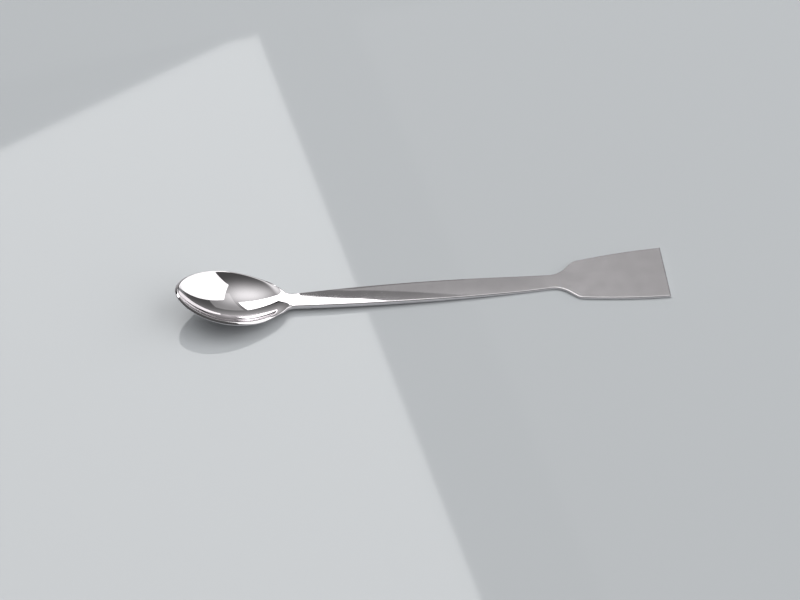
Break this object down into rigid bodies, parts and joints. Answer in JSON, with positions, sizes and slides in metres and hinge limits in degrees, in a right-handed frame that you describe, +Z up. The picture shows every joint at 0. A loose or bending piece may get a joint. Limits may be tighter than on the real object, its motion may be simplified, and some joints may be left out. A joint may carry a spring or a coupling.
{
  "type": "lab spatula",
  "caption": "One-piece steel chemist's spatula with a pointed spoon bowl at one end and a flat, flared blade at the other, for scooping and scraping powders",
  "frame": {"origin": "bottom centre of the bounding box, on the surface that the spatula lies on", "axes": "+X runs along the length towards the blade end, the bowl's tip is at -X, +Z is up out of the bowl, and the piece is even about the XZ plane"},
  "size_m": [0.1498, 0.022, 0.0116],
  "materials": {
    "steel": "polished stainless steel, near mirror, with fine lengthwise polishing marks"
  },
  "bodies": {
    "root": {"spatula": "steel"}
  },
  "joints": []
}
